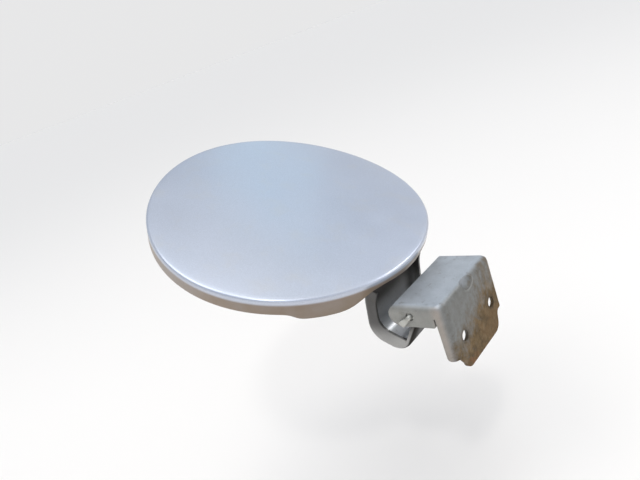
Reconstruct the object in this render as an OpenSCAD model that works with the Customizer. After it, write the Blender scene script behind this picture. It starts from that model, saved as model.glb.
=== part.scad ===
// Round fuel filler door with its gooseneck hinge arm and hinge bracket.
// Millimetres. The origin lies between the two bolt holes, on the outer face
// of the bracket's mounting plate. +X points out of that plate, away
// from the door, +Y lies along the hinge pin and +Z points out of the
// bracket's top plate. The door is drawn in its rest pose, tilted by "tilt".

/* [Door] */
// Diameter of the round door
door_d = 180; // [176:1:184]
// Height of the crown across the door, along the hinge pin's direction
crown = 6.2; // [5:0.1:7.5]
// Depth of the turned-down rim
rim_h = 10; // [9.5:0.1:11]
// Depth of the rim where the arm passes under it
rim_relief = 5.8; // [5:0.1:5.9]
// Depth of the inner panel's two side lobes beside the arm
lobe_h = 14; // [12:0.5:16]
// Sheet thickness of the outer skin
skin_t = 0.8; // [0.7:0.1:1]
// Sheet thickness of the inner panel
panel_t = 0.8; // [0.6:0.1:0.8]

/* [Hinge] */
// Tilt of the closed door against the bracket's top plate
tilt = 28.1; // [24:0.1:32]
// Diameter of the hinge pin
pin_d = 5; // [4:0.1:5]
// Radial play of the arm on the pin
play = 0.05; // [0.02:0.01:0.1]
// Sheet thickness of the arm
arm_t = 1.6; // [1.2:0.1:1.6]
// Width of the arm along the pin
arm_w = 52.6; // [48:0.2:52.6]
// Depth of the arm's side flanges
arm_flange = 8.6; // [7:0.1:9.4]
// Sideways shift of the door and arm on the pin
side_play = -1.2; // [-1.2:0.1:0]

/* [Bracket] */
// Outer width of the bracket along the pin
br_w = 60.4; // [60:0.1:62]
// Sideways shift of the bracket's sheet against its bolt holes
br_shift = 0.5; // [0:0.1:0.6]
// Sheet thickness of the bracket
br_t = 2; // [1.6:0.1:2]
// Height of the top plate over the bolt holes
br_top = 25.2; // [24:0.1:27]
// Length of the top plate
br_len = 31.8; // [30:0.1:33]
// Depth of the bracket's side walls
br_wall = 12.8; // [12.4:0.1:13.4]
// Distance between the two bolt holes
hole_gap = 34.6; // [34:0.2:36]
// Diameter of the bolt holes
hole_d = 6.6; // [6.4:0.1:8.4]

/* [Hidden] */

$fn = 64;
door_r = door_d / 2;
door_c = [-110.7, side_play, 80.1];            // centre of the door's rim circle
rho = (pow(door_r, 2) + pow(crown, 2)) / (2 * crown);
apex = crown / 2;                              // crown's top over the rim's mean plane
panel_d = 5.2;                                 // depth of the inner panel's top face
seat_d = panel_d + panel_t;                    // depth of its under face
wall_r = door_r - skin_t;

pin_c = [-21.5, 18.9];                         // pin centre, bracket's x and z
pin_r = pin_d / 2;
eye_r = pin_r + play + arm_t;
hole_c = [2, -1];                                // middle of the bolt holes, in y and z
tail_v = [-0.807, -0.59];                      // run of the pin's bent tail

silver = [0.77, 0.80, 0.87];
grey = [0.62, 0.64, 0.66];

// ---------- helpers ----------
// The door's own frame: x towards the hinge, z out of the door
module in_door() translate(door_c) rotate([0, tilt, 0]) children();
// A profile drawn in x and z, extruded along y from y0 to y1
module along_y(y0, y1) translate([0, y1, 0]) rotate([90, 0, 0]) linear_extrude(y1 - y0) children();
// Everything under the crowned surface that lies d below the door's outside
module under(d) translate([0, 0, apex - rho]) rotate([0, 90, 0])
    cylinder(r = rho - d, h = 260, center = true, $fn = 720);
// The curved layer between two depths
module layer(d0, d1) difference() { under(d0); under(d1); }

function unit(v) = v / norm(v);
function left(v) = [-v[1], v[0]];
function cross2(a, b) = a[0] * b[1] - a[1] * b[0];
// Crossing of the lines p + s u and q + t v
function meet(p, u, q, v) = p + u * (cross2(q - p, v) / cross2(u, v));
// Corner a-b-c of a path, rounded with radius r, when the path turns left
function bend(a, b, c, r, n = 14) =
    let (u = unit(b - a), v = unit(c - b), w = acos(u * v),
         s = b - u * r * tan(w / 2), o = s + left(u) * r, a0 = atan2(s[1] - o[1], s[0] - o[0]))
    [for (i = [0:n]) o + r * [cos(a0 + w * i / n), sin(a0 + w * i / n)]];
function flip(v) = [for (i = [len(v) - 1:-1:0]) v[i]];

// ---------- arm profile, in the bracket's x and z ----------
w0 = [-43.2, 46.2];
w1 = [-52.7, 27.6];
w2 = [-58, 1.5];
w3 = [-35.4, -10.2];
end_a = atan2(pin_c[1] - w3[1], pin_c[0] - w3[0]) - asin(eye_r / norm(pin_c - w3));
w4 = w3 + [cos(end_a), sin(end_a)] * sqrt(pow(norm(pin_c - w3), 2) - pow(eye_r, 2));
// The same path moved d to its hollow side
function arm_path(d) =
    let (u0 = unit(w1 - w0), u1 = unit(w2 - w1), u2 = unit(w3 - w2), u3 = unit(w4 - w3),
         p0 = w0 + left(u0) * d, p1 = meet(p0, u0, w1 + left(u1) * d, u1),
         p2 = meet(w1 + left(u1) * d, u1, w2 + left(u2) * d, u2),
         p3 = meet(w2 + left(u2) * d, u2, w3 + left(u3) * d, u3), p4 = w4 + left(u3) * d)
    [p0, p1, p2, p3, p4];
r1 = 30;
r2 = 13;
r3 = 11;
edge_r = 9;                                    // corner of the flange's free edge
low_flange = 11.2;                             // height of the side flange along the bottom
strip = 2.4;                                     // side flange along the end wall
function arm_line(d) = let (p = arm_path(d))
    concat([p[0]], bend(p[0], p[1], p[2], r1 - d, 4), bend(p[1], p[2], p[3], r2 - d),
           bend(p[2], p[3], p[4], r3 - d), [p[4]]);
// Side flange: from the outer line to the free edge, closed by the end wall
function flange_shape(d) =
    let (p = arm_path(0), q = arm_path(d), k = arm_path(d + low_flange - arm_flange), s = arm_path(strip),
         u1 = unit(p[2] - p[1]), u2 = unit(p[3] - p[2]), u3 = unit(p[4] - p[3]),
         c = meet(q[1], u1, k[2], u2), e = meet(k[2], u2, s[3], u3))
    concat([p[0]], bend(p[0], p[1], p[2], r1, 4), bend(p[1], p[2], p[3], r2), bend(p[2], p[3], p[4], r3),
           [p[4], s[4], e], flip(bend(q[1], c, e, edge_r)), flip(bend(q[0], q[1], c, r1 - d, 4)), [q[0]]);

// ---------- door ----------
// Lower edge of the rim's hinge side, in y and z: two lobes and the relief between them
module lobes() translate([0, 0, 0]) rotate([90, 0, 90]) linear_extrude(100)
    for (s = [0, 1]) mirror([s, 0]) polygon([[72, 0], [71, -10.7], [69.5, -11.4], [67.5, -13.2], [65.5, -lobe_h - 0.2],
        [60, -lobe_h + 0.1], [50, -lobe_h + 0.7], [44, -lobe_h + 1.4], [30, -lobe_h + 1.4], [30, 0]]);
module relief() translate([40, 0, 0]) rotate([90, 0, 90]) linear_extrude(60)
    polygon([[-60, -30], [-46, -13.4], [-42, -11.2], [-38, -8.7], [-34, -6.2], [-30, -rim_relief + 1.3], [-22, -rim_relief + 2.6], [-10, -rim_relief + 2.2],
             [10, -rim_relief + 2.2], [22, -rim_relief + 2.6], [30, -rim_relief + 1.3], [34, -6.2], [38, -8.7], [42, -11.2], [46, -13.4], [60, -30]]);

module outer_skin() color(silver) in_door() difference() {
    intersection() {
        translate([0, 0, -20]) cylinder(r = door_r, h = 40, $fn = 360);
        under(0);
        union() {
            layer(0, rim_h);
            lobes();
        }
    }
    intersection() {
        translate([0, 0, -20]) cylinder(r = wall_r, h = 40, $fn = 360);
        under(skin_t);
    }
    relief();
}

module inner_panel() color(silver) in_door() difference() {
    intersection() {
        translate([0, 0, -30]) cylinder(r = wall_r - 0.05, h = 60, $fn = 360);
        layer(panel_d, rim_h - 0.5);
    }
    intersection() {
        translate([0, 0, -31]) cylinder(r = wall_r - 0.05 - panel_t, h = 62, $fn = 360);
        under(seat_d);
    }
    relief();
    for (a = [60, 180, 300]) rotate(a) translate([60, 0, 0]) cylinder(d = 5, h = 60, center = true);
}

module pad(x, y, r) translate([x, y, 0]) intersection() {
    translate([-x, -y, 0]) layer(skin_t, panel_d);
    cylinder(r = r, h = 60, center = true);
}
module sealer_pads() color([0.16, 0.16, 0.17]) in_door()
    for (p = [[-52, 0], [-18, 44], [-18, -44], [26, 0], [48, 40], [48, -40]]) pad(p[0], p[1], 8);

// ---------- arm ----------
module base_outline() polygon([[78, -arm_w / 2], [78, arm_w / 2], [58, arm_w / 2], [52, 24], [2, 15], [-4, 10], [-4, -10], [2, -15], [52, -24], [58, -arm_w / 2]]);
module gooseneck_arm() color(grey) difference() {
    union() {
        intersection() {
            translate([0, side_play, 0]) union() {
                along_y(-arm_w / 2, arm_w / 2) polygon(concat(arm_line(0), flip(arm_line(arm_t))));
                for (s = [-1, 1]) along_y(s * (arm_w - arm_t) / 2 - arm_t / 2, s * (arm_w - arm_t) / 2 + arm_t / 2)
                    polygon(flange_shape(arm_flange));
            }
            in_door() under(seat_d + 0.02);
        }
        // base plate under the inner panel
        in_door() intersection() {
            layer(seat_d, seat_d + arm_t);
            translate([0, 0, -40]) linear_extrude(60) base_outline();
        }
        translate([pin_c[0], arm_w / 2 + side_play, pin_c[1]]) rotate([90, 0, 0]) cylinder(r = eye_r, h = arm_w);
        // stop lip that meets the top plate's under side
        translate([0, side_play, 0]) along_y(-arm_w / 2, arm_w / 2)
            polygon([[-19, 16], [-12.4, 21.4], [-13.2, 22.9], [-20, 20.4]]);
    }
    // running bore of the two eyes
    translate([pin_c[0], 40, pin_c[1]]) rotate([90, 0, 0]) cylinder(r = pin_r + play, h = 80);
    // window between the eyes for the spring
    translate([-29, -13.8 + side_play, 6.5]) cube([19, 27.6, 20]);
    // dimple hole of the base plate
    in_door() translate([18, 0, -20]) cylinder(d = 9, h = 40);
}

module latch_striker() color([0.72, 0.70, 0.62]) in_door() difference() {
    union() {
        intersection() {
            layer(seat_d, seat_d + 1.5);
            translate([-80, -12, -20]) cube([17.5, 24, 40]);
        }
        intersection() {
            under(seat_d);
            translate([-64, -12, -27]) cube([1.5, 24, 40]);
        }
    }
    translate([-60, 0, -21]) rotate([0, -90, 0]) linear_extrude(8) {
        square([7, 9], center = true);
        for (s = [-1, 1]) translate([0, s * 4.5]) circle(r = 3.5);
    }
    for (s = [-1, 1]) translate([-60, s * 12, -27]) rotate([0, -90, 0]) linear_extrude(8)
        rotate(s > 0 ? 180 : 90) difference() { square(5); translate([5, 5]) circle(r = 5); }
}

module buffer(y) in_door() intersection() {
    under(seat_d);
    translate([-56, y, 0]) rotate([180, 0, 0]) rotate_extrude()
        polygon([[0, 0], [7, 0], [7, 9], [6.4, 9], [6.4, 10.5], [5.6, 14], [4, 16], [0, 16.4]]);
}
module buffer_near() color([0.07, 0.07, 0.07]) buffer(-46);
module buffer_far() color([0.07, 0.07, 0.07]) buffer(46);

// ---------- bracket ----------
ear_c = [-28.4, 19.2];
ear_r = 6.9;
module side_wall_shape() difference() {
    union() {
        translate(ear_c) circle(r = ear_r);
        translate([ear_c[0], br_top - br_wall]) square([-6.8 - ear_c[0], br_wall]);
        translate([-br_len, ear_c[1]]) square([br_len - 1, br_top - ear_c[1]]);
    }
    translate([pin_c[0], pin_c[1]]) circle(r = pin_r);
}
module plate_shape() difference() {
    union() {
        translate([-br_w / 2, -9.6]) square([br_w, br_top + 9.6]);
        translate([-15.4, -19.9]) square([30.8, 14]);
        translate([-21.9, -13.4]) square([43.8, 7]);
        for (s = [-1, 1]) translate([s * 15.4, -13.4]) circle(r = 6.5);
    }
    for (s = [-1, 1]) translate([s * hole_gap / 2 + hole_c[0] - br_shift, hole_c[1]]) circle(d = hole_d);
}
module dart(r) translate([-2.1, 0.8, br_top - 2.1]) rotate([0, 135, 0]) cylinder(r = r, h = 14, center = true);
module hinge_bracket() color(grey) translate([0, br_shift, 0]) {
    difference() {
        union() {
            // top plate
            translate([-br_len, -br_w / 2, br_top - br_t]) cube([br_len, br_w, br_t]);
            // mounting plate
            translate([-br_t, 0, 0]) rotate([90, 0, 90]) linear_extrude(br_t) plate_shape();
            // side walls with their ears
            for (s = [-1, 1]) along_y(s * (br_w - br_t) / 2 - br_t / 2, s * (br_w - br_t) / 2 + br_t / 2) side_wall_shape();
            // side flanges of the mounting plate
            for (s = [-1, 1]) along_y(s * (br_w - br_t) / 2 - br_t / 2, s * (br_w - br_t) / 2 + br_t / 2)
                polygon([[0, br_top], [-5.9, br_top], [-5.9, -6], [-5.3, -8.5], [-4, -9.6], [0, -9.6]]);
            // inside of the pressed dart over the fold
            intersection() {
                translate([0, 0, 0]) dart(7.2);
                translate([-9, -12, br_top - 9]) cube([9, 24, 9]);
            }
        }
        translate([2.6, 0, 2.6]) dart(5.4);
    }
}

module hinge_pin() color([0.66, 0.66, 0.64]) translate([pin_c[0], 0, pin_c[1]]) {
    translate([0, br_w / 2 + br_shift + 2.3, 0]) rotate([90, 0, 0]) cylinder(r = pin_r, h = br_w + 1.5);
    // upset head on the far side
    translate([0, br_w / 2 + br_shift + 1.6, 0]) rotate([90, 0, 0]) cylinder(r = 3.8, h = 1.6);
    // near end drawn down, bent over and flattened
    translate([0, br_shift - br_w / 2 - 0.2, 0]) {
        translate([0, 1, 0]) rotate([90, 0, 0]) cylinder(r = 1.5, h = 2.4);
        translate([0, -1.4, 0]) sphere(r = 1.5);
        translate([0, -0.1, 0]) rotate([0, atan2(tail_v[0], tail_v[1]), 0]) rotate([90, 0, 0]) linear_extrude(2.6)
            polygon([[-1.45, 0], [1.45, 0], [2.3, 5], [2.3, 7], [1.7, 7.8], [-1.7, 7.8], [-2.3, 7], [-2.3, 5]]);
    }
}

// Wire and coil of the spring that pops the door open
wire_d = 1.5;
coil_r = pin_r + 0.2 + wire_d / 2;
turns = 11;
pitch = 1.42;
spring_y = -8 + side_play;
module leg(p, q) let (v = q - p) translate(p) rotate([0, acos(v[2] / norm(v)), atan2(v[1], v[0])]) cylinder(d = wire_d, h = norm(v));
module torsion_spring() color([0.35, 0.35, 0.36]) translate([pin_c[0], 0, pin_c[1]]) {
    u = [cos(end_a), sin(end_a)];
    f = (eye_r + wire_d / 2 + 0.1) * [sin(end_a), -cos(end_a)];
    yb = spring_y + turns * pitch;
    for (i = [0:turns]) translate([0, spring_y + i * pitch, 0]) rotate([90, 0, 0]) rotate_extrude() translate([coil_r, 0]) circle(d = wire_d);
    // leg under the top plate
    leg([0, spring_y, coil_r - 0.6], [13, spring_y, coil_r - 0.6]);
    // leg along the outside of the arm's end wall
    leg([coil_r * sin(end_a), yb, -coil_r * cos(end_a)], [f[0] * 1.05, yb, f[1] * 1.05]);
    leg([f[0] + 0.6 * u[0], yb, f[1] + 0.6 * u[1]], [f[0] - 17 * u[0], yb, f[1] - 17 * u[1]]);
}

outer_skin();
inner_panel();
sealer_pads();
gooseneck_arm();
latch_striker();
buffer_near();
buffer_far();
hinge_bracket();
hinge_pin();
torsion_spring();
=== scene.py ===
import bpy, bmesh, math
import numpy as np
from mathutils import Vector, Matrix


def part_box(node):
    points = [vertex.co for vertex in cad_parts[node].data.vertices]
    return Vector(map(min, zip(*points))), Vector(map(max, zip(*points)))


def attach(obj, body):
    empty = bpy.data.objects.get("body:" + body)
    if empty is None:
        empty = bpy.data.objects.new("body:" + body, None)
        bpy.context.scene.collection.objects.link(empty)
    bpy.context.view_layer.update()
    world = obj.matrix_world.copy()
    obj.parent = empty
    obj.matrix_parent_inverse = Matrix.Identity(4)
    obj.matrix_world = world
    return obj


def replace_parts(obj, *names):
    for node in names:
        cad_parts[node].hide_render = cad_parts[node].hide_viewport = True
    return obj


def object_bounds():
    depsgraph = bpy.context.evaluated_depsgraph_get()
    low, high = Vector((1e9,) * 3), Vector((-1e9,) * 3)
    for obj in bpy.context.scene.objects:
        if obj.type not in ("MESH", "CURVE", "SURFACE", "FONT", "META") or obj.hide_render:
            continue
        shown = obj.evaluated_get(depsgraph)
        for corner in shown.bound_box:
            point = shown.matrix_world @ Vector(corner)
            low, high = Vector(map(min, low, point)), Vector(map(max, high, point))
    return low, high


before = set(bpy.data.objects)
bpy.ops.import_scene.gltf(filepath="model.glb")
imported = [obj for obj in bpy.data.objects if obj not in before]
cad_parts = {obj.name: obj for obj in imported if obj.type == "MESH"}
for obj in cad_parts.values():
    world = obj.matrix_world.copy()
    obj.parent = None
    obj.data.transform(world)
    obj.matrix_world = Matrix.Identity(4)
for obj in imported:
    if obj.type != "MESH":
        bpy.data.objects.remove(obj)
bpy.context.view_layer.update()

# ------------------------------------------------------------------ numbers, in millimetres
TILT = math.radians(28.1)
CT, ST = math.cos(TILT), math.sin(TILT)
DOOR = (-110.7, -1.2, 80.1)
R = 90.0
CROWN = 6.2
RHO = (R * R + CROWN * CROWN) / (2 * CROWN)
APEX = CROWN / 2
PIN = np.array([-21.5, 18.9])
PIN_R, EYE_R, PLAY = 2.5, 4.15, 0.05
ARM_T, ARM_W, SIDE = 1.6, 52.6, -1.2
BR_T, BR_TOP = 2.0, 25.2
BR_NEAR, BR_FAR = -29.7, 30.7


def top_z(v):
    return APEX - RHO + math.sqrt(RHO * RHO - v * v)


def to_row(h, v, z):
    return (DOOR[0] + h * CT + z * ST, DOOR[1] + v, DOOR[2] - h * ST + z * CT)


# ------------------------------------------------------------------ the arm's line, in x and z
def unit(v):
    return v / np.linalg.norm(v)


def left(v):
    return np.array([-v[1], v[0]])


def cross2(a, b):
    return a[0] * b[1] - a[1] * b[0]


def meet(p, u, q, v):
    return p + u * (cross2(q - p, v) / cross2(u, v))


def bend(a, b, c, r, n=16):
    u, v = unit(b - a), unit(c - b)
    w = math.acos(float(np.dot(u, v)))
    s = b - u * r * math.tan(w / 2)
    o = s + left(u) * r
    a0 = math.atan2(s[1] - o[1], s[0] - o[0])
    return [o + r * np.array([math.cos(a0 + w * i / n), math.sin(a0 + w * i / n)]) for i in range(n + 1)]


W0, W1, W2, W3 = (np.array(p) for p in ((-43.2, 46.2), (-52.7, 27.6), (-58.0, 1.5), (-35.4, -10.2)))
dv = PIN - W3
END_A = math.atan2(dv[1], dv[0]) - math.asin(EYE_R / np.linalg.norm(dv))
W4 = W3 + np.array([math.cos(END_A), math.sin(END_A)]) * math.sqrt(float(dv @ dv) - EYE_R ** 2)
UE = np.array([math.cos(END_A), math.sin(END_A)])



# ------------------------------------------------------------------ mesh helpers
def raw(name, verts, faces):
    me = bpy.data.meshes.new(name)
    me.from_pydata([tuple(map(float, v)) for v in verts], [], faces)
    me.validate()
    bm = bmesh.new()
    bm.from_mesh(me)
    bmesh.ops.recalc_face_normals(bm, faces=bm.faces)
    bm.to_mesh(me)
    bm.free()
    o = bpy.data.objects.new(name, me)
    bpy.context.scene.collection.objects.link(o)
    return o


def bake(o):
    bpy.context.view_layer.update()
    dg = bpy.context.evaluated_depsgraph_get()
    me = bpy.data.meshes.new_from_object(o.evaluated_get(dg))
    o.modifiers.clear()
    old = o.data
    o.data = me
    bpy.data.meshes.remove(old)
    return o


def boolean(o, cutter, op):
    m = o.modifiers.new("b", "BOOLEAN")
    m.operation = op
    m.object = cutter
    m.solver = "EXACT"
    bake(o)
    bpy.data.objects.remove(cutter)
    return o


def cut(o, c):
    return boolean(o, c, "DIFFERENCE")


def keep(o, c):
    return boolean(o, c, "INTERSECT")


def add(o, c):
    return boolean(o, c, "UNION")


def prism(name, poly, a, b, axis):
    """poly is (x, z) for axis y, (y, z) for axis x."""
    n = len(poly)
    if axis == "y":
        v = [(p[0], a, p[1]) for p in poly] + [(p[0], b, p[1]) for p in poly]
    else:
        v = [(a, p[0], p[1]) for p in poly] + [(b, p[0], p[1]) for p in poly]
    f = [tuple(range(n)), tuple(range(2 * n - 1, n - 1, -1))]
    f += [(i, (i + 1) % n, n + (i + 1) % n, n + i) for i in range(n)]
    return raw(name, v, f)


def block(name, lo, hi):
    return prism(name, [(lo[0], lo[2]), (hi[0], lo[2]), (hi[0], hi[2]), (lo[0], hi[2])], lo[1], hi[1], "y")


def rod(name, a, b, r, n=48):
    a, b = Vector(a), Vector(b)
    d = (b - a).normalized()
    u = d.orthogonal().normalized()
    w = d.cross(u)
    ring = [(math.cos(2 * math.pi * i / n), math.sin(2 * math.pi * i / n)) for i in range(n)]
    v = [a + (u * c + w * s) * r for c, s in ring] + [b + (u * c + w * s) * r for c, s in ring]
    f = [tuple(range(n)), tuple(range(2 * n - 1, n - 1, -1))] + [(i, (i + 1) % n, n + (i + 1) % n, n + i) for i in range(n)]
    return raw(name, v, f)


def ball(name, c, r, n=32, m=20):
    v = []
    for j in range(1, m):
        t = math.pi * j / m
        for i in range(n):
            p = 2 * math.pi * i / n
            v.append((c[0] + r[0] * math.sin(t) * math.cos(p), c[1] + r[1] * math.sin(t) * math.sin(p), c[2] + r[2] * math.cos(t)))
    v += [(c[0], c[1], c[2] + r[2]), (c[0], c[1], c[2] - r[2])]
    f = []
    for j in range(m - 2):
        for i in range(n):
            f.append((j * n + i, j * n + (i + 1) % n, (j + 1) * n + (i + 1) % n, (j + 1) * n + i))
    t, b = len(v) - 2, len(v) - 1
    f += [(t, (i + 1) % n, i) for i in range(n)]
    f += [(b, (m - 2) * n + i, (m - 2) * n + (i + 1) % n) for i in range(n)]
    return raw(name, v, f)


def round_edges(o, picks, width, segments=6):
    """picks: function of an edge's two ends that gives 0..1."""
    me = o.data
    at = me.attributes.new("bevel_weight_edge", "FLOAT", "EDGE")
    for e in me.edges:
        at.data[e.index].value = picks(me.vertices[e.vertices[0]].co, me.vertices[e.vertices[1]].co)
    m = o.modifiers.new("r", "BEVEL")
    m.width = width
    m.segments = segments
    m.limit_method = "WEIGHT"
    m.use_clamp_overlap = False
    return bake(o)


def loops(name, rings, closed=True, cap=True, wrap=False):
    """Surface through rings of equal length."""
    n = len(rings[0])
    v = [p for r in rings for p in r]
    f = []
    k = len(rings)
    for j in range(k if wrap else k - 1):
        for i in range(n if closed else n - 1):
            a, b = j * n + i, j * n + (i + 1) % n
            c, d = ((j + 1) % k) * n + (i + 1) % n, ((j + 1) % k) * n + i
            f.append((a, b, c, d))
    if cap and not wrap:
        f += [tuple(range(n)), tuple(range(k * n - 1, (k - 1) * n - 1, -1))]
    return raw(name, v, f)


def finish_piece(o, mat, body, nodes, edge=0.3, angle=35, seg=2, ops=True):
    """Edge rounding, shading, scale to metres, material, ride."""
    me = o.data
    me.transform(Matrix.Scale(0.001, 4))
    if edge:
        m = o.modifiers.new("edges", "BEVEL")
        m.width = edge * 0.001
        m.segments = seg
        m.limit_method = "ANGLE"
        m.angle_limit = math.radians(angle)
        m.harden_normals = False
        m.loop_slide = False
        m.use_clamp_overlap = True
        bake(o)
    me = o.data
    me.materials.clear()
    me.materials.append(mat)
    for p in me.polygons:
        p.use_smooth = True
        p.material_index = 0
    me.set_sharp_from_angle(angle=math.radians(angle + 8))
    if edge:
        w = o.modifiers.new("wn", "WEIGHTED_NORMAL")
        w.keep_sharp = True
        w.weight = 60
    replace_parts(o, *nodes) if nodes else None
    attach(o, body)
    return o


def join(name, parts):
    v, f, off = [], [], 0
    for o in parts:
        me = o.data
        v += [tuple(p.co) for p in me.vertices]
        f += [tuple(i + off for i in p.vertices) for p in me.polygons]
        off = len(v)
    for o in parts:
        bpy.data.objects.remove(o)
    return raw(name, v, f)


# ------------------------------------------------------------------ materials
class Mat:
    def __init__(self, name):
        self.m = bpy.data.materials.new(name)
        self.m.use_nodes = True
        self.t = self.m.node_tree
        self.t.nodes.clear()
        self.out = self.t.nodes.new("ShaderNodeOutputMaterial")
        self.p = self.t.nodes.new("ShaderNodeBsdfPrincipled")
        self.t.links.new(self.p.outputs[0], self.out.inputs[0])
        self.c = self.t.nodes.new("ShaderNodeTexCoord").outputs["Object"]

    def link(self, a, b):
        self.t.links.new(a, b)

    def set(self, **k):
        for n, v in k.items():
            self.p.inputs[n.replace("_", " ")].default_value = v
        return self

    def noise(self, scale, detail=4.0, rough=0.5, distort=0.0, vec=None):
        n = self.t.nodes.new("ShaderNodeTexNoise")
        n.inputs["Scale"].default_value = scale
        n.inputs["Detail"].default_value = detail
        n.inputs["Roughness"].default_value = rough
        n.inputs["Distortion"].default_value = distort
        self.link(vec or self.c, n.inputs["Vector"])
        return n.outputs[0]

    def voronoi(self, scale, out="Color", feature="F1"):
        n = self.t.nodes.new("ShaderNodeTexVoronoi")
        n.feature = feature
        n.inputs["Scale"].default_value = scale
        self.link(self.c, n.inputs["Vector"])
        return n.outputs[out]

    def ramp(self, x, stops):
        n = self.t.nodes.new("ShaderNodeValToRGB")
        e = n.color_ramp.elements
        while len(e) < len(stops):
            e.new(0.5)
        for i, (p, c) in enumerate(stops):
            e[i].position = p
            e[i].color = (c, c, c, 1) if isinstance(c, (int, float)) else (*c, 1)
        self.link(x, n.inputs[0])
        return n.outputs[0]

    def math(self, op, a, b=None, clamp=False):
        n = self.t.nodes.new("ShaderNodeMath")
        n.operation = op
        n.use_clamp = clamp
        for i, x in enumerate((a, b)):
            if x is None:
                continue
            if isinstance(x, (int, float)):
                n.inputs[i].default_value = x
            else:
                self.link(x, n.inputs[i])
        return n.outputs[0]

    def mix(self, f, a, b):
        n = self.t.nodes.new("ShaderNodeMix")
        n.data_type = "RGBA"
        for i, x in ((0, f), (6, a), (7, b)):
            if isinstance(x, (int, float)):
                n.inputs[i].default_value = x
            elif isinstance(x, tuple):
                n.inputs[i].default_value = (*x, 1)
            else:
                self.link(x, n.inputs[i])
        return n.outputs[2]

    def xyz(self):
        n = self.t.nodes.new("ShaderNodeSeparateXYZ")
        self.link(self.c, n.inputs[0])
        return n.outputs

    def ramp01(self, x, lo, hi):
        n = self.t.nodes.new("ShaderNodeMapRange")
        n.interpolation_type = "SMOOTHSTEP"
        n.inputs[1].default_value = lo
        n.inputs[2].default_value = hi
        self.link(x, n.inputs[0])
        return n.outputs[0]

    def bump(self, h, dist, strength=1.0, prev=None):
        n = self.t.nodes.new("ShaderNodeBump")
        n.inputs["Distance"].default_value = dist
        n.inputs["Strength"].default_value = strength
        self.link(h, n.inputs["Height"])
        if prev is not None:
            self.link(prev, n.inputs["Normal"])
        return n.outputs[0]

    def to(self, name, x):
        self.link(x, self.p.inputs[name])
        return self


def silver():
    m = Mat("silver_paint")
    m.set(Metallic=0.78, Roughness=0.33, Coat_Weight=0.7, Coat_Roughness=0.06, IOR=1.5)
    flake = m.voronoi(4200.0)
    fl = m.ramp(flake, [(0.0, 0.90), (0.55, 1.0), (1.0, 1.12)])
    soft = m.ramp(m.noise(9.0, 3.0), [(0.3, 0.975), (0.7, 1.02)])
    k = m.math("MULTIPLY", fl, soft)
    base = m.mix(1.0, (0.0, 0.0, 0.0), (0.50, 0.538, 0.626))
    mul = m.t.nodes.new("ShaderNodeMix")
    mul.data_type = "RGBA"
    mul.blend_type = "MULTIPLY"
    mul.inputs[0].default_value = 1.0
    m.link(base, mul.inputs[6])
    m.link(k, mul.inputs[7])
    # faint dust and fine wear in random patches
    dust = m.ramp(m.noise(60.0, 6.0, 0.6), [(0.52, 0.0), (0.72, 0.22)])
    col = m.mix(dust, mul.outputs[2], (0.55, 0.53, 0.50))
    # road film on the rim's wall together with a painted warm reflection of the floor: depth below the crowned surface,
    # in the door's own frame
    x, y, z = m.xyz()
    zd = m.math("ADD", m.math("MULTIPLY", m.math("ADD", x, 0.1107), ST), m.math("MULTIPLY", m.math("SUBTRACT", z, 0.0801), CT))
    yy = m.math("ADD", y, 0.0012)
    surf = m.math("SUBTRACT", 0.0031, m.math("MULTIPLY", m.math("MULTIPLY", yy, yy), 0.77))
    below = m.math("SUBTRACT", surf, zd)
    film = m.math("MULTIPLY", m.ramp01(below, 0.0022, 0.0042), m.ramp(m.noise(45.0, 7.0, 0.6), [(0.3, 0.74), (0.7, 0.95)]))
    h = m.math("SUBTRACT", m.math("MULTIPLY", m.math("ADD", x, 0.1107), CT), m.math("MULTIPLY", m.math("SUBTRACT", z, 0.0801), ST))
    wide = m.ramp01(m.math("ADD", m.math("MULTIPLY", h, h), m.math("MULTIPLY", yy, yy)), 0.0074, 0.00775)
    film = m.math("MULTIPLY", film, m.math("ADD", m.math("MULTIPLY", wide, 0.68), 0.32))
    col = m.mix(film, col, (0.25, 0.182, 0.118))
    # painted shade: the rim's wall gets darker and browner towards the bracket side (+X)
    col = m.mix(m.math("MULTIPLY", film, m.math("MULTIPLY", m.ramp01(x, -0.115, -0.045), 0.45)), col, (0.13, 0.088, 0.05))
    clear = m.math("SUBTRACT", 1.0, film, clamp=True)
    m.to("Metallic", m.math("ADD", m.math("MULTIPLY", clear, 0.58), 0.2))
    m.to("Coat Weight", m.math("ADD", m.math("MULTIPLY", clear, 0.65), 0.05))
    m.to("Base Color", col)
    m.to("Roughness", m.ramp(m.noise(35.0, 5.0), [(0.3, 0.29), (0.75, 0.38)]))
    b = m.bump(m.noise(420.0, 2.0), 0.00004, 0.25)
    m.to("Normal", b)
    return m.m


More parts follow.
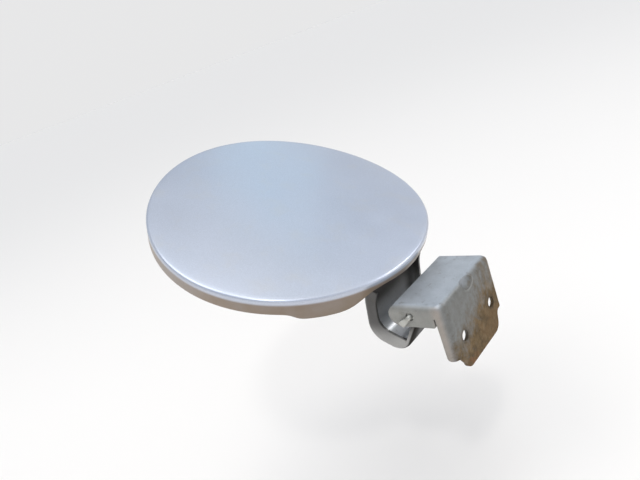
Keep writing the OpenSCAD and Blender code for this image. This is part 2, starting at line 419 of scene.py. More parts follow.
def grey(name, base=(0.33, 0.34, 0.345), rusty=False, dark=1.0):
    m = Mat(name)
    x, y, z = m.xyz()
    m.set(Metallic=0.45, Roughness=0.42, Coat_Weight=0.5, Coat_Roughness=0.14)
    mott = m.ramp(m.noise(70.0, 8.0, 0.62), [(0.35, 0.86), (0.65, 1.08)])
    fine = m.ramp(m.voronoi(3800.0), [(0.0, 0.93), (1.0, 1.07)])
    k = m.math("MULTIPLY", mott, fine)
    mul = m.t.nodes.new("ShaderNodeMix")
    mul.data_type = "RGBA"
    mul.blend_type = "MULTIPLY"
    mul.inputs[0].default_value = 1.0
    mul.inputs[6].default_value = tuple(c * dark for c in base) + (1,)
    m.link(k, mul.inputs[7])
    col = mul.outputs[2]
    rough = m.ramp(m.noise(50.0, 6.0), [(0.3, 0.36), (0.7, 0.55)])
    # road dirt in patches
    dirt_n = m.noise(38.0, 9.0, 0.68, 0.4)
    spots = m.ramp(m.noise(260.0, 7.0, 0.7), [(0.58, 0.0), (0.66, 1.0)])
    if rusty:
        face = m.ramp01(x, -0.0042, -0.0008)
        low = m.ramp01(z, 0.020, -0.016)
        across = m.ramp01(y, -0.024, 0.024)
        zone = m.math("MULTIPLY", face, m.math("ADD", m.math("MULTIPLY", low, 0.74), m.math("MULTIPLY", across, 0.45)))
        streak = m.t.nodes.new("ShaderNodeMapping")
        streak.inputs["Scale"].default_value = (1.0, 1.0, 0.75)
        m.link(m.c, streak.inputs["Vector"])
        sn = m.noise(230.0, 9.0, 0.74, 0.0, streak.outputs[0])
        # grey-olive film over the whole plate, denser low and on the far side
        film = m.math("MULTIPLY", face, m.ramp(sn, [(0.3, 0.66), (0.65, 0.88)]))
        col = m.mix(film, col, (0.108, 0.102, 0.082))
        d = m.math("ADD", zone, m.math("MULTIPLY", m.math("SUBTRACT", sn, 0.5), 1.1), clamp=True)
        dirt = m.ramp(d, [(0.25, 0.0), (0.75, 0.92)])
        col = m.mix(dirt, col, m.ramp(m.noise(160.0, 8.0, 0.7), [(0.3, (0.062, 0.040, 0.016)), (0.52, (0.138, 0.088, 0.037)), (0.74, (0.23, 0.155, 0.080))]))
        r = m.math("ADD", m.math("MULTIPLY", zone, 0.80), m.math("MULTIPLY", m.math("SUBTRACT", m.noise(210.0, 9.0, 0.72), 0.5), 1.9), clamp=True)
        rust = m.ramp(r, [(0.72, 0.0), (0.90, 0.85)])
        tint = m.ramp(m.noise(330.0, 6.0, 0.7), [(0.3, (0.10, 0.058, 0.026)), (0.7, (0.20, 0.13, 0.064))])
        col = m.mix(rust, col, tint)
        # dark rings left by the bolts
        for c in (-0.0153, 0.0193):
            ry, rz = m.math("SUBTRACT", y, c), m.math("ADD", z, 0.001)
            rr = m.math("ADD", m.math("MULTIPLY", ry, ry), m.math("MULTIPLY", rz, rz))
            ring = m.math("MULTIPLY", m.math("MULTIPLY", m.ramp01(rr, 0.000030, 0.000014), face), m.ramp(m.noise(420.0, 7.0, 0.7), [(0.40, 0.10), (0.58, 0.70)]))
            col = m.mix(ring, col, (0.060, 0.045, 0.030))
        # bare rusty patch at the lip's near lower edge
        tip = m.math("MULTIPLY", m.ramp01(z, -0.0135, -0.0175), m.ramp01(y, -0.004, -0.014))
        tip = m.math("MULTIPLY", tip, m.ramp(m.noise(260.0, 7.0, 0.7), [(0.42, 0.0), (0.60, 0.65)]))
        col = m.mix(tip, col, (0.20, 0.075, 0.026))
        cover = m.math("MAXIMUM", m.math("MAXIMUM", dirt, rust), m.math("MULTIPLY", film, 0.7))
        rough = m.mix(cover, rough, (0.85, 0.85, 0.85))
        metal = m.math("SUBTRACT", 0.42, m.math("MULTIPLY", cover, 0.42), clamp=True)
        m.to("Metallic", metal)
        m.to("Coat Weight", m.math("MULTIPLY", metal, 1.2))
        m.to("Specular IOR Level", m.math("SUBTRACT", 0.5, m.math("MULTIPLY", cover, 0.35), clamp=True))
        # thin film of dirt and painted shade on the near side flange, the side turned away from the light: darker and
        # warmer, browner below the ear
        near = m.ramp01(y, -0.0265, -0.0292)
        front = m.ramp01(x, -0.010, -0.003)
        tone = m.mix(front, (0.66, 0.61, 0.525), (0.85, 0.70, 0.57))
        near_side_shade_and_dirt = m.t.nodes.new("ShaderNodeMix")
        near_side_shade_and_dirt.data_type = "RGBA"
        near_side_shade_and_dirt.blend_type = "MULTIPLY"
        m.link(near, near_side_shade_and_dirt.inputs[0])
        m.link(col, near_side_shade_and_dirt.inputs[6])
        m.link(tone, near_side_shade_and_dirt.inputs[7])
        col = near_side_shade_and_dirt.outputs[2]
        # painted shade inside the pressed dart, and a painted highlight along its lower rim
        dx = m.math("MULTIPLY", m.math("SUBTRACT", x, 0.0014), 1 / 0.0050)
        dy = m.math("MULTIPLY", m.math("SUBTRACT", y, 0.0012), 1 / 0.0076)
        dz = m.math("MULTIPLY", m.math("SUBTRACT", z, 0.0262), 1 / 0.0070)
        dd = m.math("ADD", m.math("ADD", m.math("MULTIPLY", dx, dx), m.math("MULTIPLY", dy, dy)), m.math("MULTIPLY", dz, dz))
        dart_shade = m.math("MULTIPLY", m.ramp01(dd, 1.10, 0.85), m.ramp01(dd, 0.3, 0.9))
        col = m.mix(m.math("MULTIPLY", dart_shade, 0.5), col, (0.10, 0.10, 0.095))
        dart_highlight = m.math("MULTIPLY", m.math("MULTIPLY", m.ramp01(dd, 0.98, 1.10), m.ramp01(dd, 1.55, 1.25)), m.math("MULTIPLY", m.ramp01(dx, -0.55, -0.15), m.ramp01(dy, -0.9, 0.1)))
        col = m.mix(m.math("MULTIPLY", dart_highlight, 0.45), col, (0.40, 0.41, 0.41))
        h = m.math("ADD", m.math("MULTIPLY", m.math("MAXIMUM", rust, dirt), m.noise(520.0, 7.0, 0.7)), m.math("MULTIPLY", film, 0.2))
        m.to("Normal", m.bump(h, 0.00035, 0.9, m.bump(m.noise(420.0, 3.0), 0.00008, 0.35)))
    else:
        dirt = m.ramp(dirt_n, [(0.55, 0.0), (0.75, 0.35)])
        col = m.mix(dirt, col, (0.20, 0.175, 0.14))
        # painted shade that deepens towards the door, where the door shades the arm, and near-black painted shade on
        # the end wall's outer face
        flange = m.math("MULTIPLY", m.ramp01(y, -0.0245, -0.0255), m.ramp01(z, 0.000, 0.012))
        high = m.math("MULTIPLY", m.math("MAXIMUM", m.ramp01(z, 0.008, 0.023), flange), m.ramp(m.noise(55.0, 6.0, 0.6), [(0.3, 0.80), (0.7, 0.95)]))
        nx, nz = math.sin(END_A), -math.cos(END_A)
        off = m.math("ADD", m.math("MULTIPLY", m.math("SUBTRACT", x, W3[0] * 0.001), nx), m.math("MULTIPLY", m.math("SUBTRACT", z, W3[1] * 0.001), nz))
        yc = m.math("ABSOLUTE", m.math("ADD", y, 0.0012))
        turn = m.math("MULTIPLY", m.ramp01(off, -0.0060, -0.0044), m.ramp01(yc, 0.0258, 0.0250))
        wall = m.math("MULTIPLY", m.math("MAXIMUM", m.ramp01(off, -0.00045, -0.0002), turn), 0.93)
        col = m.mix(high, col, (0.045, 0.042, 0.040))
        col = m.mix(wall, col, (0.016, 0.013, 0.010))
        rough = m.mix(wall, rough, (1.0, 1.0, 1.0))
        dull = m.math("SUBTRACT", 1.0, m.math("MAXIMUM", wall, m.math("MULTIPLY", high, 0.6)), clamp=True)
        # painted light on the trough's floor away from the flanges, where light reaches past the near flange's shadow
        trough_light = m.math("MULTIPLY", m.ramp01(yc, 0.0235, 0.0150), m.ramp01(z, 0.021, 0.002))
        col = m.mix(m.math("MULTIPLY", trough_light, m.math("SUBTRACT", 1.0, wall, clamp=True)), col, (0.80, 0.82, 0.84))
        rough = m.mix(trough_light, rough, (0.37, 0.37, 0.37))
        m.to("Metallic", m.math("MULTIPLY", dull, 0.45))
        m.to("Coat Weight", m.math("MULTIPLY", dull, 0.5))
        m.to("Specular IOR Level", m.math("MULTIPLY", dull, 0.5))
        m.to("Normal", m.bump(m.noise(500.0, 3.0), 0.00006, 0.35))
    col = m.mix(m.math("MULTIPLY", spots, 0.35), col, (0.11, 0.085, 0.055))
    m.to("Base Color", col)
    m.to("Roughness", rough)
    return m.m


def plated():
    m = Mat("plated_steel")
    m.set(Metallic=0.85, Roughness=0.4)
    n = m.noise(140.0, 8.0, 0.65)
    m.to("Base Color", m.ramp(n, [(0.3, (0.26, 0.25, 0.22)), (0.5, (0.46, 0.46, 0.43)), (0.75, (0.56, 0.56, 0.54))]))
    m.to("Roughness", m.ramp(m.noise(220.0, 5.0), [(0.3, 0.3), (0.7, 0.55)]))
    m.to("Normal", m.bump(m.noise(600.0, 4.0), 0.00008, 0.5))
    return m.m


def wire():
    m = Mat("spring_wire")
    m.set(Metallic=0.8, Roughness=0.45)
    n = m.noise(300.0, 7.0, 0.7)
    m.to("Base Color", m.ramp(n, [(0.35, (0.16, 0.15, 0.14)), (0.6, (0.26, 0.25, 0.24)), (0.72, (0.20, 0.09, 0.04))]))
    m.to("Normal", m.bump(m.noise(900.0, 4.0), 0.00005, 0.5))
    return m.m


def rubber(name, c):
    m = Mat(name)
    m.set(Roughness=0.75, Specular_IOR_Level=0.35)
    m.to("Base Color", m.ramp(m.noise(90.0, 7.0, 0.6), [(0.35, c), (0.75, tuple(min(1.0, v * 2.2 + 0.01) for v in c))]))
    m.to("Normal", m.bump(m.noise(700.0, 4.0), 0.00006, 0.5))
    return m.m


SILVER = silver()
GREY = grey("grey_paint", (0.33, 0.325, 0.315))
RUSTY = grey("rusty_grey_paint", (0.395, 0.425, 0.46), rusty=True)
PLATED = plated()
WIRE = wire()
RUBBER = rubber("black_rubber", (0.018, 0.018, 0.019))
SEALER = rubber("sealer", (0.05, 0.05, 0.055))

# ------------------------------------------------------------------ outer skin
N = 480
RIM = [(0, 7.0), (4, 7.0), (9, 6.4), (13, 6.0), (16, 6.1), (20, 6.9), (22.5, 8.6), (25, 10.7), (27.5, 12.7), (30, 13.9), (33, 14.4), (38, 14.45),
       (44, 14.2), (46.5, 13.9), (48, 13.2), (49.5, 12.0), (51, 10.8), (53, 10.15), (56, 10.0), (180, 10.0)]
fine = np.interp(np.arange(0, 180.001, 0.25), [a for a, _ in RIM], [d for _, d in RIM])
ker = np.hanning(11)
ker /= ker.sum()
fine_s = np.convolve(np.pad(fine, 5, mode="reflect"), ker, mode="valid")


def depth(th):
    a = abs((math.degrees(th) + 180) % 360 - 180)
    return float(np.interp(a, np.arange(0, 180.001, 0.25), fine_s))


def door_rings(profile, n=N):
    """profile(theta) gives (r, depth below the crowned surface) pairs."""
    cols = []
    for i in range(n):
        th = 2 * math.pi * i / n
        col = []
        for r, d in profile(th):
            h, v = r * math.cos(th), r * math.sin(th)
            col.append(to_row(h, v, top_z(v) - d))
        cols.append(col)
    return [[cols[i][j] for i in range(n)] for j in range(len(cols[0]))]


def disc(name, profile, n=N):
    rings = door_rings(profile, n)
    k = len(rings)
    v = [p for r in rings for p in r]
    f = [(j * n + i, j * n + (i + 1) % n, (j + 1) * n + (i + 1) % n, (j + 1) * n + i) for j in range(k - 1) for i in range(n)]
    c0 = tuple(np.mean(rings[0], axis=0))
    c1 = tuple(np.mean(rings[-1], axis=0))
    v += [c0, c1]
    f += [(len(v) - 2, (i + 1) % n, i) for i in range(n)]
    f += [(len(v) - 1, (k - 1) * n + i, (k - 1) * n + (i + 1) % n) for i in range(n)]
    return raw(name, v, f)


E = 1.7


def skin_profile(th):
    d = depth(th)
    p = [(r, 0.0) for r in (4, 14, 26, 38, 50, 60, 68, 75, 80, 83.5, 86, R - E)]
    for a in range(10, 91, 10):
        a = math.radians(a)
        p.append((R - E + E * math.sin(a), E - E * math.cos(a)))
    for q in (0.35, 0.7, 0.9):
        p.append((R, E + (d - 0.45 - E) * q))
    for a in range(0, 181, 30):
        a = math.radians(a)
        p.append((R - 0.42 + 0.42 * math.cos(a), d - 0.42 + 0.42 * math.sin(a)))
    p += [(R - 0.84, d * 0.6), (R - 0.86, 3.4), (R - 1.4, 1.7), (R - 2.8, 0.95), (80, 0.82), (40, 0.82), (4, 0.82)]
    return p


skin = disc("door_outer_skin", skin_profile)
finish_piece(skin, SILVER, "door", ["outer_skin"], edge=0, angle=50)


# ------------------------------------------------------------------ inner panel with pressed ribs
def smooth(x):
    x = max(0.0, min(1.0, x))
    return x * x * (3 - 2 * x)


def press(h, v):
    """How far the panel is pressed towards the skin, in millimetres."""
    r = math.hypot(h, v)
    d = 1.6 * smooth((r - 66) / 4) * smooth((80 - r) / 4) * (1 - smooth((h - 30) / 16))
    for a in (110, 160, 200, 250):
        u = h * math.cos(math.radians(a)) + v * math.sin(math.radians(a))
        w = -h * math.sin(math.radians(a)) + v * math.cos(math.radians(a))
        d = max(d, 1.5 * smooth((7 - abs(w)) / 4) * smooth((u - 24) / 6) * smooth((64 - u) / 6))
    return d


def panel_profile(th):
    d = max(depth(th) - 0.7, 6.3)
    d = min(d, 9.4)
    c, s = math.cos(th), math.sin(th)
    p = []
    for r in np.linspace(2, 84, 42):
        p.append((r, 6.0 - press(r * c, r * s)))
    q = 87.0
    for a in range(0, 91, 30):
        a = math.radians(a)
        p.append((q - 1.2 + 1.3 * math.sin(a), min(6.0 + 1.3 * (1 - math.cos(a)), d - 0.2)))
    p += [(88.3, d - 0.3), (88.45, d - 0.05), (88.9, d), (89.1, d - 0.2), (89.12, 5.2), (86, 4.9)]
    for r in np.linspace(82, 2, 30):
        p.append((r, 5.2 - press(r * c, r * s)))
    return p


panel = disc("door_inner_panel", panel_profile, 300)
for a in (60, 180, 300):
    h, v = 60 * math.cos(math.radians(a)), 60 * math.sin(math.radians(a))
    cut(panel, rod("c", to_row(h, v, -20), to_row(h, v, -0.9), 2.5, 32))
finish_piece(panel, SILVER, "door", ["inner_panel"], edge=0, angle=40)


# ------------------------------------------------------------------ gooseneck arm
def arm_path(d):
    u0, u1, u2, u3 = unit(W1 - W0), unit(W2 - W1), unit(W3 - W2), unit(W4 - W3)
    p0 = W0 + left(u0) * d
    p1 = meet(p0, u0, W1 + left(u1) * d, u1)
    p2 = meet(W1 + left(u1) * d, u1, W2 + left(u2) * d, u2)
    p3 = meet(W2 + left(u2) * d, u2, W3 + left(u3) * d, u3)
    return [p0, p1, p2, p3, W4 + left(u3) * d]


R1, R2, R3 = 30.0, 13.0, 11.0


def arm_line(d, ext=0.0):
    p = arm_path(d)
    return [p[0]] + bend(p[0], p[1], p[2], R1 - d, 8) + bend(p[1], p[2], p[3], R2 - d, 18) + bend(p[2], p[3], p[4], R3 - d, 14) + [p[4] + UE * ext]


y0, y1 = -ARM_W / 2 + SIDE, ARM_W / 2 + SIDE
outer_line = arm_line(0, 6)
inner_line = arm_line(ARM_T, 6)
close = [np.array((8.0, 46.0)), np.array((-10.0, 60.0)), np.array((-38.0, 60.0))]


def channel(line, lo, hi, radius, seg):
    o = prism("c", [tuple(p) for p in line] + [tuple(p) for p in close], lo, hi, "y")
    pts = {(round(float(p[0]), 3), round(float(p[1]), 3)) for p in line}

    def pick(a, b):
        if abs(a.y - b.y) > 1e-4:
            return 0.0
        ka, kb = (round(a.x, 3), round(a.z, 3)), (round(b.x, 3), round(b.z, 3))
        return 1.0 if ka in pts and kb in pts else 0.0
    return round_edges(o, pick, radius, seg)


arm = channel(outer_line, y0, y1, 3.2, 8)
hollow = channel(inner_line, y0 + ARM_T, y1 - ARM_T, 3.6, 8)
cut(arm, hollow)
q, k, p_in = arm_path(8.6), arm_path(11.2), arm_path(2.4)
u2 = unit(k[3] - k[2])
c_in = meet(q[1], unit(q[2] - q[1]), k[2], u2)
e_in = meet(k[2], u2, p_in[3], unit(p_in[4] - p_in[3]))
free = [q[0] + (q[0] - q[1])] + bend(q[0], q[1], c_in, R1 - 8.6, 8) + bend(q[1], c_in, e_in, 9.0, 14) + [e_in, p_in[4] + UE * 12, np.array((30.0, 70.0)), np.array((-30.0, 80.0))]
cut(arm, prism("c", [tuple(p) for p in free], -60, 60, "y"))
# the end wall stops at the eyes
stop = W4 + left(UE) * 0.0
n_e = left(UE)
cut(arm, prism("c", [tuple(stop + n_e * -8), tuple(stop + n_e * -8 + UE * 60), tuple(stop + n_e * 60 + UE * 60), tuple(stop + n_e * 60)], -60, 60, "y"))
# top of the neck ends at the base plate
pa = to_row(40, 0, -3.35)
pb = to_row(140, 0, -3.35)
pc = to_row(140, 0, 60)
pd = to_row(40, 0, 60)
cut(arm, prism("c", [(p[0], p[2]) for p in (pa, pb, pc, pd)], -60, 60, "y"))
# window for the spring
cut(arm, block("c", (-29, -13.8 + SIDE, 6.5), (-10, 13.8 + SIDE, 26.5)))
parts = [arm]
# rolled eyes
for lo, hi in ((y0, -13.8 + SIDE), (13.8 + SIDE, y1)):
    ring = []
    n = 72
    gap = math.radians(14)
    base = END_A - math.pi / 2
    for j in range(n + 1):
        t = base + gap * 0 + (2 * math.pi - gap) * j / n
        c, s = math.cos(t), math.sin(t)
        ro, ri = EYE_R, PIN_R + PLAY
        e = 0.25
        sec = [(ro, lo + e), (ro, hi - e), (ro - e, hi), (ri + e, hi), (ri, hi - e), (ri, lo + e), (ri + e, lo), (ro - e, lo)]
        ring.append([(PIN[0] + r * c, y, PIN[1] + r * s) for r, y in sec])
    parts.append(loops("eye", ring))
    # stop lip
    parts.append(prism("lip", [(-18.9, 16.1), (-12.5, 21.4), (-12.3, 22.0), (-12.7, 22.8), (-13.4, 22.85), (-20.0, 20.6), (-19.4, 18.0)], lo + 0.2, hi - 0.2, "y"))
# base plate under the inner panel
sts = [(-4.0, 9.5), (-3.6, 10.4), (-2.5, 11.8), (2, 15), (20, 18.2), (40, 21.8), (52, 24), (58, 25.9), (64, 26.1), (72, 26.1), (77.4, 26.1)]
rings = []
for h, w in sts:
    loop = []
    e = 0.35
    for k in range(25):
        v = -w + e + (2 * w - 2 * e) * k / 24
        loop.append((v, 6.02))
    loop += [(w, 6.02 + e), (w, 7.6 - e)]
    for k in range(25):
        v = w - e - (2 * w - 2 * e) * k / 24
        loop.append((v, 7.6))
    loop += [(-w, 7.6 - e), (-w, 6.02 + e)]
    rings.append([to_row(h, v, top_z(v) - d) for v, d in loop])
plate = loops("base", rings)
cut(plate, rod("c", to_row(18, 0, -20), to_row(18, 0, 0), 4.5, 40))
for h, v in ((44, -14), (44, 14), (60, 0), (66, -18), (66, 18)):
    # spot welds, pressed a little into the sheet
    cut(plate, ball("c", to_row(h, v, top_z(v) - 7.6 - 2.7), (3.2, 3.2, 3.2), 20, 12))
parts.append(plate)
arm = join("gooseneck", parts)
finish_piece(arm, GREY, "door", ["gooseneck_arm"], edge=0.28, angle=42)


# ------------------------------------------------------------------ bracket
def box_round(lo, hi, wide, small):
    o = block("b", lo, hi)

    def pick(a, b):
        def on(p, i, val):
            return abs(p[i] - val) < 1e-4
        far = on(a, 1, hi[1]) and on(b, 1, hi[1])
        top = on(a, 2, hi[2]) and on(b, 2, hi[2])
        face = on(a, 0, hi[0]) and on(b, 0, hi[0])
        side = abs(a.y - b.y) < 1e-4
        if top and face:
            return small / wide
        if top and side:
            return (small / wide) * (0.62 if far else 1.0)
        if face and side:
            return 0.55 if far else 1.0
        return 0.0
    return round_edges(o, pick, wide, 10)


outer = box_round((-70, BR_NEAR, -50), (0, BR_FAR, BR_TOP), 7.0, 4.2)
inner = box_round((-80, BR_NEAR + BR_T, -60), (-BR_T, BR_FAR - BR_T, BR_TOP - BR_T), 5.0, 2.2)
cut(outer, ball("d", (1.4, 1.2, 26.2), (5.0, 7.6, 7.0), 40, 26))
cut(inner, ball("d", (1.0, 1.2, 25.8), (7.0, 9.6, 9.0), 40, 26))
bracket = cut(outer, inner)


def arc(cx, cz, r, a0, a1, n):
    return [(cx + r * math.cos(math.radians(a0 + (a1 - a0) * i / n)), cz + r * math.sin(math.radians(a0 + (a1 - a0) * i / n))) for i in range(n + 1)]


side = [(-31.8, 27), (-31.8, 24.6)] + arc(-28.4, 19.2, 6.9, 135, 270, 18) + \
       [(-8.0, 12.3)] + arc(-8.0, 13.5, 1.2, -90, 0, 5) + [(-6.8, 17.4)] + arc(-6.35, 17.6, 0.45, 180, 0, 6) + \
       [(-5.9, 10.0), (-5.9, -6.2)] + arc(-3.1, -6.9, 2.8, 175, 262, 8) + [(-2.1, -9.9), (-2.1, -30), (3, -30), (3, 27)]
keep(bracket, prism("c", side, -60, 60, "y"))
front = [(-31, 30), (-31, -7.4)] + arc(-27.4, -7.2, 2.8, 195, 262, 6) + [(-26.4, -9.9), (-25.5, -9.9), (-24.7, -10.5), (-23.8, -11.9), (-22.9, -13.4), (-21.9, -15.0)] + \
        arc(-15.9, -13.6, 6.3, 205, 270, 9) + \
        arc(15.9, -13.6, 6.3, 270, 350, 10) + [(23.0, -11.4), (23.7, -10.2), (24.8, -9.3), (26.0, -9.0), (27.2, -8.9)] + arc(28.2, -6.4, 2.5, -85, -15, 6) + [(32, -5.6), (32, 30)]
keep(bracket, prism("c", front, -60, 5, "x"))
cut(bracket, block("c", (-60, -25.4, 14), (-31.8, 25.4, 40)))
for s in (-1, 1):
    cut(bracket, rod("c", (-10, 2.0 + s * 17.3, -1.0), (6, 2.0 + s * 17.3, -1.0), 3.3, 56))
cut(bracket, rod("c", (PIN[0], -40, PIN[1]), (PIN[0], 40, PIN[1]), PIN_R, 48))
bracket.name = "bracket_sheet"
finish_piece(bracket, RUSTY, "bracket", ["hinge_bracket"], edge=0.3, angle=40)


# ------------------------------------------------------------------ pin with its bent, flattened tail
def pin_piece():
    rings = []
    n = 40
    bw = BR_FAR
    bn = -BR_NEAR
    cs = [(bw + 3.0, 0.6), (bw + 2.9, 1.8), (bw + 2.3, 3.0), (bw + 1.7, 3.6), (bw + 0.6, 3.75), (bw + 0.1, 3.75), (bw + 0.05, PIN_R)]
    for y, r in cs:
        rings.append([(PIN[0] + r * math.cos(2 * math.pi * i / n), y, PIN[1] + r * math.sin(2 * math.pi * i / n)) for i in range(n)])
    for y, r in ((20, PIN_R), (0, PIN_R), (-20, PIN_R), (-bn + 1.0, PIN_R), (-bn + 0.82, PIN_R - 0.1), (-bn + 0.8, 1.6), (-bn - 0.1, 1.48)):
        rings.append([(PIN[0] + r * math.cos(2 * math.pi * i / n), y, PIN[1] + r * math.sin(2 * math.pi * i / n)) for i in range(n)])
    # bend towards the tail: centre line turns from -Y to the tail's run
    tv = np.array([-0.807, 0.0, -0.59])
    yd = np.array([0.0, -1.0, 0.0])
    wd = np.array([-0.59, 0.0, 0.807])
    rb = 1.35
    c0 = np.array([PIN[0], -bn - 0.2, PIN[1]])
    ctr = c0 + tv * rb
    for k in range(1, 9):
        a = math.pi / 2 * k / 8
        p = ctr - tv * rb * math.cos(a) + yd * rb * math.sin(a)
        up = -tv * math.cos(a) + yd * math.sin(a)
        f = k / 8
        ra = 1.45 - 0.2 * f
        rw = 1.45 - 0.1 * f
        rings.append([tuple(p + up * ra * math.cos(2 * math.pi * i / n) + wd * rw * math.sin(2 * math.pi * i / n)) for i in range(n)])
    p0 = ctr + yd * rb
    for s, w, t, dy in ((0.2, 1.42, 1.25, 0.0), (1.2, 1.55, 1.25, 0.0), (2.2, 1.75, 1.22, 0.0), (3.2, 1.95, 1.18, 0.02), (4.2, 2.12, 1.12, 0.05), (5.2, 2.22, 1.05, 0.08), (5.9, 2.2, 0.98, 0.1), (6.3, 1.95, 0.9, 0.1), (6.6, 1.5, 0.75, 0.1), (6.75, 0.7, 0.5, 0.1)):
        p = p0 + tv * s - yd * dy
        ring = []
        for i in range(n):
            a = 2 * math.pi * i / n
            c, sn = math.cos(a), math.sin(a)
            pw = 0.62
            ring.append(tuple(p + yd * t * math.copysign(abs(c) ** pw, c) + wd * w * math.copysign(abs(sn) ** pw, sn)))
        rings.append(ring)
    return loops("pin", rings)


pin = pin_piece()
finish_piece(pin, PLATED, "bracket", ["hinge_pin"], edge=0, angle=45)


# ------------------------------------------------------------------ torsion spring: one helical wire with two legs
def tube(name, pts, r, n=12):
    pts = [np.array(p, float) for p in pts]
    rings = []
    t0 = pts[1] - pts[0]
    u = np.array(Vector(t0).orthogonal().normalized())
    for i, p in enumerate(pts):
        t = unit(pts[min(i + 1, len(pts) - 1)] - pts[max(i - 1, 0)])
        u = unit(u - t * float(u @ t))
        w = np.cross(t, u)
        rings.append([tuple(p + (u * math.cos(2 * math.pi * k / n) + w * math.sin(2 * math.pi * k / n)) * r) for k in range(n)])
    return loops(name, rings)


CR, WR = 3.42, 0.72
sy = -8.0 + SIDE
turns = 10.0
pts = [(PIN[0] + 13, sy, PIN[1] + CR - 0.3), (PIN[0] + 8, sy, PIN[1] + CR - 0.1), (PIN[0] + 2.5, sy, PIN[1] + CR)]
a_end = END_A - math.pi / 2
total = turns * 2 * math.pi + (math.pi / 2 - a_end)
steps = 420
for i in range(steps + 1):
    a = math.pi / 2 + total * i / steps
    pts.append((PIN[0] + CR * math.cos(a), sy + 15.6 * i / steps, PIN[1] + CR * math.sin(a)))
ea = math.pi / 2 + total
nd = np.array([math.cos(ea), math.sin(ea)])
last = np.array([PIN[0], PIN[1]]) + CR * nd
away = (EYE_R + WR + 0.1) * np.array([math.sin(END_A), -math.cos(END_A)])
for s in (3, 5, 8, 12, 16):
    k = min(1.0, s / 6)
    c = PIN + away * k + CR * np.array([math.sin(END_A), -math.cos(END_A)]) * (1 - k)
    pts.append((c[0] - UE[0] * s, sy + 15.6, c[1] - UE[1] * s))
spring = tube("spring", pts, WR, 12)
finish_piece(spring, WIRE, "bracket", ["torsion_spring"], edge=0, angle=60)


# ------------------------------------------------------------------ latch striker
def door_prism(name, poly, a, b):
    """poly is (V, z) in the door's frame, extruded along H."""
    n = len(poly)
    v = [to_row(a, p[0], p[1]) for p in poly] + [to_row(b, p[0], p[1]) for p in poly]
    f = [tuple(range(n)), tuple(range(2 * n - 1, n - 1, -1))] + [(i, (i + 1) % n, n + (i + 1) % n, n + i) for i in range(n)]
    return raw(name, v, f)


tab = door_prism("tab", [(-12, -4.2), (12, -4.2)] + arc(7.4, -22.4, 4.5, 0, -90, 8) + arc(-7.4, -22.4, 4.5, -90, -180, 8), -64, -62.5)
slot_poly = arc(4.5, -21, 3.5, -90, 90, 12) + arc(-4.5, -21, 3.5, 90, 270, 12)
cut(tab, door_prism("c", slot_poly, -70, -55))
foot = door_prism("foot", [(-12, -2.95), (12, -2.95), (12, -4.45), (-12, -4.45)], -79.6, -62.6)
for v in (-6.5, 6.5):
    cut(foot, ball("c", to_row(-73, v, -4.45 - 2.6), (3.0, 3.0, 3.0), 20, 12))
striker = join("striker", [tab, foot])
finish_piece(striker, PLATED, "door", ["latch_striker"], edge=0.25, angle=40)

# ------------------------------------------------------------------ rubber buffers
for nm, yb in (("buffer_near", -46), ("buffer_far", 46)):
    prof = [(7.0, 3.5), (7.0, -0.6), (6.8, -0.9), (6.8, -3.0), (5.2, -3.6), (5.2, -5.0), (6.3, -5.6), (6.4, -8.6), (6.2, -10.4), (5.6, -13.4), (4.6, -15.2), (3.2, -16.1), (1.4, -16.35)]
    zs = top_z(yb) - 6.0
    rings = [[to_row(-56 + r * math.cos(2 * math.pi * i / 48), yb + r * math.sin(2 * math.pi * i / 48), (zs if k == 0 else APEX * 0 + z)) for i in range(48)] for k, (r, z) in enumerate(prof)]
    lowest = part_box(nm)[0]
    b = loops(nm + "_rubber", rings)
    finish_piece(b, RUBBER, "door", [nm], edge=0, angle=50)

# ------------------------------------------------------------------ sealer pads: squeezed dabs between the panels
pads = []
for h, v in ((-52, 0), (-18, 44), (-18, -44), (26, 0), (48, 40), (48, -40)):
    rings = []
    for k, (rr, d) in enumerate([(6.6, 0.85), (7.6, 1.1), (7.9, 2.0), (7.5, 3.0), (7.9, 4.2), (7.5, 4.95), (6.4, 5.15)]):
        ring = []
        for i in range(40):
            a = 2 * math.pi * i / 40
            r2 = min(8.0, rr * (1 + 0.03 * math.sin(3 * a + h) - 0.02 * math.cos(5 * a + v)))
            hh, vv = h + r2 * math.cos(a), v + r2 * math.sin(a)
            ring.append(to_row(hh, vv, top_z(vv) - d))
        rings.append(ring)
    pads.append(loops("p", rings))
pad = join("sealer", pads)
finish_piece(pad, SEALER, "door", ["sealer_pads"], edge=0, angle=60)

# ------------------------------------------------------------------ floor, light, camera
lo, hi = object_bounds()
fm = Mat("floor")
fm.set(Base_Color=(0.95, 0.912, 0.872, 1), Roughness=0.95, Specular_IOR_Level=0.0)
floor = raw("floor", [(-300, -300, 0), (300, -300, 0), (300, 300, 0), (-300, 300, 0)], [(0, 1, 2, 3)])
floor.location = (0, 0, lo[2] - 0.12)
floor.data.materials.append(fm.m)

w = bpy.data.worlds.new("studio")
bpy.context.scene.world = w
w.use_nodes = True
wt = w.node_tree
bg = wt.nodes["Background"]
tc = wt.nodes.new("ShaderNodeTexCoord")
sep = wt.nodes.new("ShaderNodeSeparateXYZ")
wr = wt.nodes.new("ShaderNodeValToRGB")
wt.links.new(tc.outputs["Generated"], sep.inputs[0])
wt.links.new(sep.outputs[2], wr.inputs[0])
# tall soft window: a band of sky between two upright planes, fading out overhead
dot = wt.nodes.new("ShaderNodeVectorMath")
dot.operation = "DOT_PRODUCT"
dot.inputs[1].default_value = (0.83, 0.52, -0.18)
wt.links.new(tc.outputs["Generated"], dot.inputs[0])


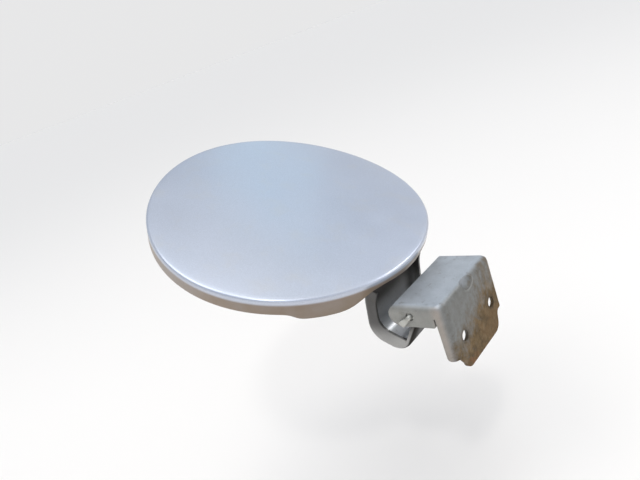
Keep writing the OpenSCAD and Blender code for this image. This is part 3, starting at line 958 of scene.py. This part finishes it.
def span(x, lo, hi):
    n = wt.nodes.new("ShaderNodeMapRange")
    n.interpolation_type = "SMOOTHSTEP"
    n.inputs["From Min"].default_value = lo
    n.inputs["From Max"].default_value = hi
    wt.links.new(x, n.inputs["Value"])
    return n.outputs[0]


def times(a, b):
    n = wt.nodes.new("ShaderNodeMath")
    n.operation = "MULTIPLY"
    wt.links.new(a, n.inputs[0])
    wt.links.new(b, n.inputs[1])
    return n.outputs[0]


s_v, z_v = dot.outputs["Value"], sep.outputs[2]
band = times(times(span(s_v, -0.11, -0.06), span(s_v, 0.12, 0.08)), times(span(z_v, 0.45, 0.60), span(z_v, 0.90, 0.74)))
lift = wt.nodes.new("ShaderNodeMix")
lift.data_type = "RGBA"
lift.blend_type = "ADD"
lift.inputs[7].default_value = (0.12, 0.29, 0.37, 1)
wt.links.new(band, lift.inputs[0])
wt.links.new(wr.outputs[0], lift.inputs[6])
shade = wt.nodes.new("ShaderNodeMix")
shade.data_type = "RGBA"
shade.blend_type = "MULTIPLY"
shade.inputs[7].default_value = (0.70, 0.73, 0.77, 1)
wt.links.new(times(span(s_v, -0.05, -0.20), span(z_v, 0.3, 0.6)), shade.inputs[0])
wt.links.new(lift.outputs[2], shade.inputs[6])
wt.links.new(shade.outputs[2], bg.inputs[0])
el = wr.color_ramp.elements
el[0].position, el[0].color = 0.0, (0.757, 0.757, 0.762, 1)
el[1].position, el[1].color = 1.0, (3.2, 3.2, 3.2, 1)
e2 = el.new(0.28)
e2.color = (0.757, 0.757, 0.762, 1)
e3 = el.new(0.4)
e3.color = (0.64, 0.68, 0.74, 1)
e4 = el.new(0.76)
e4.color = (0.67, 0.705, 0.765, 1)
e5 = el.new(0.88)
e5.color = (0.94, 0.94, 0.93, 1)
e6 = el.new(0.93)
e6.color = (0.92, 0.92, 0.91, 1)
bg.inputs[1].default_value = 1.06
bpy.context.scene.view_settings.view_transform = "Standard"


def area(name, loc, target, size, energy, color=(1, 1, 1), size_y=None):
    l = bpy.data.lights.new(name, "AREA")
    l.shape = "RECTANGLE"
    l.size = size
    l.size_y = size_y or size
    l.energy = energy
    l.color = color
    o = bpy.data.objects.new(name, l)
    bpy.context.scene.collection.objects.link(o)
    o.location = loc
    d = Vector(target) - Vector(loc)
    o.rotation_euler = d.to_track_quat("-Z", "Y").to_euler()
    return o


mid = (-0.08, 0, 0.05)
area("key", (-0.5, -0.75, 1.5), mid, 0.9, 4.6, (1.0, 0.985, 0.96))
area("window", (0.36, 1.34, 1.32), mid, 0.30, 0.5, (0.97, 0.99, 1.0))
area("lamp", (0.56, -0.66, 1.25), mid, 0.16, 3.0, (1.0, 0.99, 0.97))
area("back", (1.15, 0.75, 0.75), mid, 0.5, 2.5, (0.97, 0.98, 1.0))
glint = area("glint", (0.60, 1.25, 1.27), (-0.05, -0.012, 0.0), 0.34, 3.4)
glint.visible_diffuse = False

cam_data = bpy.data.cameras.new("camera")
cam_data.sensor_width = 36.0
cam_data.lens = 33.75
cam_data.clip_start = 0.01
cam = bpy.data.objects.new("camera", cam_data)
bpy.context.scene.collection.objects.link(cam)
fwd = Vector((-0.6786, 0.6615, -0.3192)).normalized()
up = Vector((0.0332, 0.4618, 0.8864))
right = fwd.cross(up).normalized()
up = right.cross(fwd).normalized()
rot = Matrix((right, up, -fwd)).transposed()
cam.matrix_world = Matrix.Translation((0.1670, -0.2568, 0.1777)) @ rot.to_4x4()
bpy.context.scene.camera = cam
